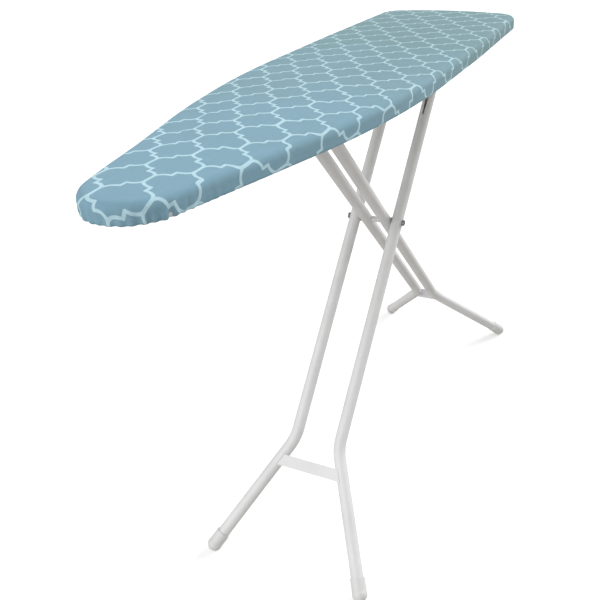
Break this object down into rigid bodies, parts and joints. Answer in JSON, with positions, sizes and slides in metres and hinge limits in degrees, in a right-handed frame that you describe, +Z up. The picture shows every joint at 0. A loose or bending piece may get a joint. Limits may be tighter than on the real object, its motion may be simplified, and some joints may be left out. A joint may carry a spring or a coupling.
{
  "type": "ironing board",
  "caption": "Folding ironing board: padded cloth-covered steel top with a rounded nose and a blunt tail, on two crossing tubular leg frames with splayed feet.",
  "frame": {"origin": "on the floor, below the middle of the whole object's bounding box", "axes": "+X along the board from its nose to its blunt tail, +Y across the board, +Z up from the floor to the ironing surface"},
  "size_m": [1.3458, 0.3806, 0.935],
  "materials": {
    "cover_cloth": "woven cotton with a trellis print",
    "pad_felt": "needled felt",
    "hem_elastic": "woven elastic",
    "deck_steel": "satin powder coat",
    "frame_paint": "semi-gloss powder coat",
    "foot_plastic": "smooth moulded",
    "plug_plastic": "smooth moulded",
    "nylon": "natural nylon",
    "zinc_steel": "zinc plated",
    "spring_wire": "bright drawn wire",
    "rivets": "satin",
    "grip_plastic": "soft dipped vinyl"
  },
  "bodies": {
    "board": {"cover": "cover_cloth", "pad": "pad_felt", "hem_elastic": "hem_elastic", "deck": "deck_steel", "rim": "deck_steel", "rib_far": "deck_steel", "rib_near": "deck_steel", "strap_front": "deck_steel", "strap_middle": "deck_steel", "strap_rear": "deck_steel", "pivot_bracket": "deck_steel", "height_track": "deck_steel", "lever_hanger": "deck_steel", "rib_rivets": "rivets", "hanger_rivets": "rivets", "guide_pins": "zinc_steel"},
    "outer_frame": {"outer_tube_far": "frame_paint", "outer_tube_near": "frame_paint", "outer_crossbar": "frame_paint", "outer_foot_far": "foot_plastic", "outer_foot_near": "foot_plastic", "top_pins": "zinc_steel", "top_nuts": "zinc_steel", "top_spacers": "nylon", "centre_rod": "zinc_steel", "centre_nuts": "zinc_steel", "centre_washers": "nylon"},
    "inner_frame": {"inner_tube_far": "frame_paint", "inner_tube_near": "frame_paint", "inner_crossbar": "frame_paint", "inner_foot_far": "foot_plastic", "inner_foot_near": "foot_plastic", "inner_plugs": "plug_plastic", "centre_sleeve": "frame_paint", "slide_rod": "zinc_steel", "slide_bushes": "nylon"},
    "release_lever": {"lever_rod": "zinc_steel", "lever_finger": "zinc_steel", "lever_grip": "grip_plastic", "lever_spring": "spring_wire"},
    "rack": {"height_rack": "zinc_steel"}
  },
  "joints": [
    {"name": "leg_fold", "type": "hinge", "parent": "board", "child": "outer_frame", "pos_m": [0.42703, 0, 0.885], "axis": [0, 1, 0], "range_deg": [0, 47]},
    {"name": "frame_scissor", "type": "hinge", "parent": "outer_frame", "child": "inner_frame", "pos_m": [0.1365, 0, 0.57344], "axis": [0, 1, 0], "range_deg": [-94, 0]},
    {"name": "lever_turn", "type": "hinge", "parent": "board", "child": "release_lever", "pos_m": [-0.08503, 0, 0.9012], "axis": [0, -1, 0], "range_deg": [0, 17.25]},
    {"name": "rack_drop", "type": "slide", "parent": "board", "child": "rack", "axis": [0, 0, -1], "range_m": [0, 0.006]}
  ],
  "couplings": [
    {"joint": "frame_scissor", "follows": "leg_fold", "ratio": -2},
    {"joint": "rack_drop", "follows": "lever_turn", "m_per_rad": 0.019925}
  ]
}
